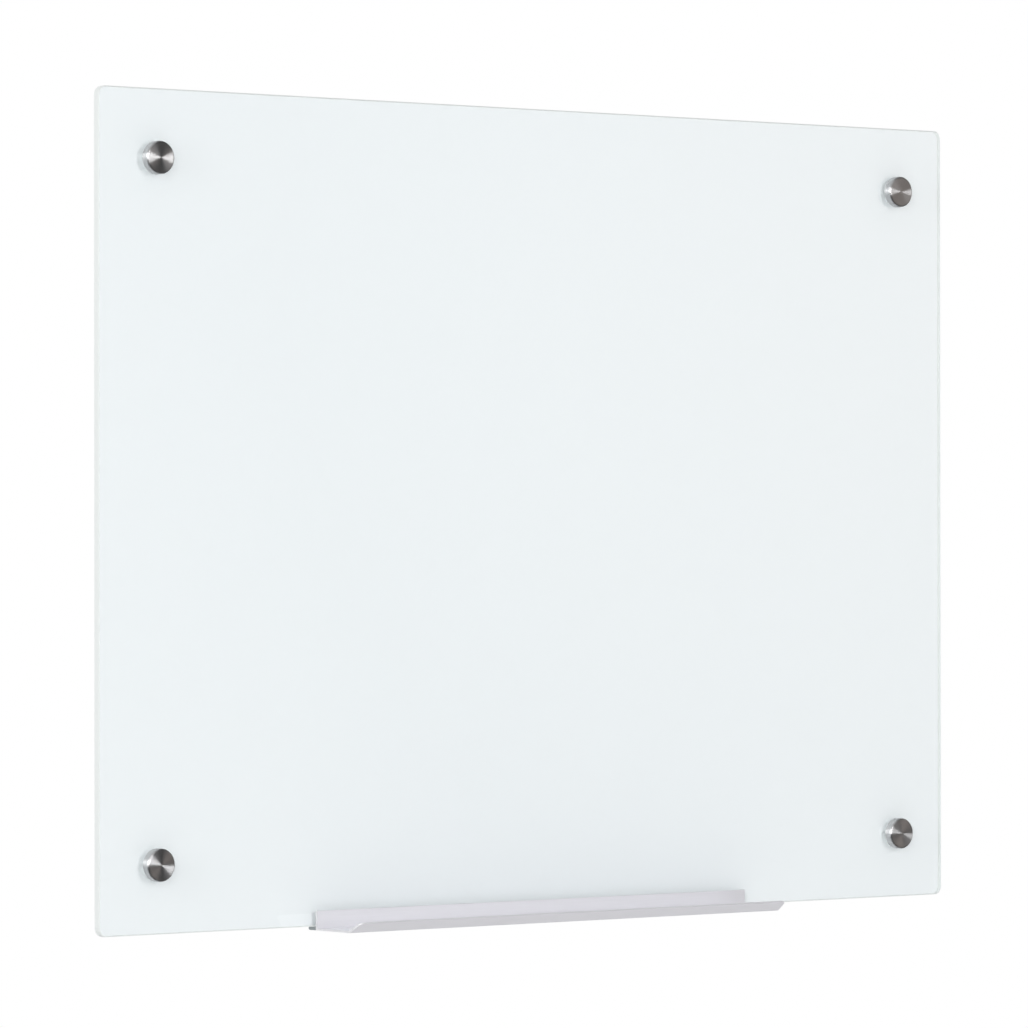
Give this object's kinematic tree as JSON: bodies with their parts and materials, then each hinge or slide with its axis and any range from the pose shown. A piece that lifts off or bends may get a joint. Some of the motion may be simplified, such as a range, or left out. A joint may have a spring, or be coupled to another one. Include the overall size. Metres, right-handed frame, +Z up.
{
  "type": "glass whiteboard",
  "caption": "Frameless white glass writing board held off the wall by round screw-down standoffs, with a slide-along pen tray on its bottom edge.",
  "frame": {"origin": "middle of the rectangle of wall screws, on the wall plane that the standoff barrels rest on", "axes": "+Z up, +X to the right as the board is read, -Y out of the wall towards the reader"},
  "size_m": [0.61, 0.0969, 0.4591],
  "materials": {
    "glass": "polished face, ground and seamed edges",
    "white_enamel": "white enamel baked on the glass",
    "anodised_aluminium": "satin silver anodised",
    "grip_plastic": "grey, slightly soft",
    "turned_steel": "turned face with concentric tool marks",
    "stud_steel": "bright zinc",
    "clear_plastic": "clear",
    "soft_plastic": "soft milky",
    "barrel_steel": "turned",
    "zinc_steel": "bright zinc"
  },
  "bodies": {
    "board": {"glass_panel": "glass", "white_back_coat": "white_enamel", "sleeve_top_left": "clear_plastic", "rear_washer_top_left": "soft_plastic", "barrel_top_left": "barrel_steel", "wall_screw_top_left": "zinc_steel", "sleeve_top_right": "clear_plastic", "rear_washer_top_right": "soft_plastic", "barrel_top_right": "barrel_steel", "wall_screw_top_right": "zinc_steel", "sleeve_bottom_left": "clear_plastic", "rear_washer_bottom_left": "soft_plastic", "barrel_bottom_left": "barrel_steel", "wall_screw_bottom_left": "zinc_steel", "sleeve_bottom_right": "clear_plastic", "rear_washer_bottom_right": "soft_plastic", "barrel_bottom_right": "barrel_steel", "wall_screw_bottom_right": "zinc_steel"},
    "tray": {"marker_tray": "anodised_aluminium", "tray_grip": "grip_plastic"},
    "washer_top_left": {"front_washer_top_left": "clear_plastic"},
    "cap_top_left": {"cap_top_left": "turned_steel", "stud_top_left": "stud_steel"},
    "washer_top_right": {"front_washer_top_right": "clear_plastic"},
    "cap_top_right": {"cap_top_right": "turned_steel", "stud_top_right": "stud_steel"},
    "washer_bottom_left": {"front_washer_bottom_left": "clear_plastic"},
    "cap_bottom_left": {"cap_bottom_left": "turned_steel", "stud_bottom_left": "stud_steel"},
    "washer_bottom_right": {"front_washer_bottom_right": "clear_plastic"},
    "cap_bottom_right": {"cap_bottom_right": "turned_steel", "stud_bottom_right": "stud_steel"}
  },
  "joints": [
    {"name": "tray_slide", "type": "slide", "parent": "board", "child": "tray", "axis": [1, 0, 0], "range_m": [-0.139, 0.151]},
    {"name": "cap_top_left_travel", "type": "slide", "parent": "board", "child": "washer_top_left", "axis": [0, -1, 0], "range_m": [0, 0.01]},
    {"name": "cap_top_left_turn", "type": "hinge", "parent": "washer_top_left", "child": "cap_top_left", "pos_m": [-0.2682, -0.02595, 0.1908], "axis": [0, -1, 0], "range_deg": [0, 2880]},
    {"name": "cap_top_right_travel", "type": "slide", "parent": "board", "child": "washer_top_right", "axis": [0, -1, 0], "range_m": [0, 0.01]},
    {"name": "cap_top_right_turn", "type": "hinge", "parent": "washer_top_right", "child": "cap_top_right", "pos_m": [0.2682, -0.02595, 0.1908], "axis": [0, -1, 0], "range_deg": [0, 2880]},
    {"name": "cap_bottom_left_travel", "type": "slide", "parent": "board", "child": "washer_bottom_left", "axis": [0, -1, 0], "range_m": [0, 0.01]},
    {"name": "cap_bottom_left_turn", "type": "hinge", "parent": "washer_bottom_left", "child": "cap_bottom_left", "pos_m": [-0.2682, -0.02595, -0.1908], "axis": [0, -1, 0], "range_deg": [0, 2880]},
    {"name": "cap_bottom_right_travel", "type": "slide", "parent": "board", "child": "washer_bottom_right", "axis": [0, -1, 0], "range_m": [0, 0.01]},
    {"name": "cap_bottom_right_turn", "type": "hinge", "parent": "washer_bottom_right", "child": "cap_bottom_right", "pos_m": [0.2682, -0.02595, -0.1908], "axis": [0, -1, 0], "range_deg": [0, 2880]}
  ],
  "couplings": [
    {"joint": "cap_top_left_turn", "follows": "cap_top_left_travel", "rad_per_m": 5026.5},
    {"joint": "cap_top_right_turn", "follows": "cap_top_right_travel", "rad_per_m": 5026.5},
    {"joint": "cap_bottom_left_turn", "follows": "cap_bottom_left_travel", "rad_per_m": 5026.5},
    {"joint": "cap_bottom_right_turn", "follows": "cap_bottom_right_travel", "rad_per_m": 5026.5}
  ]
}
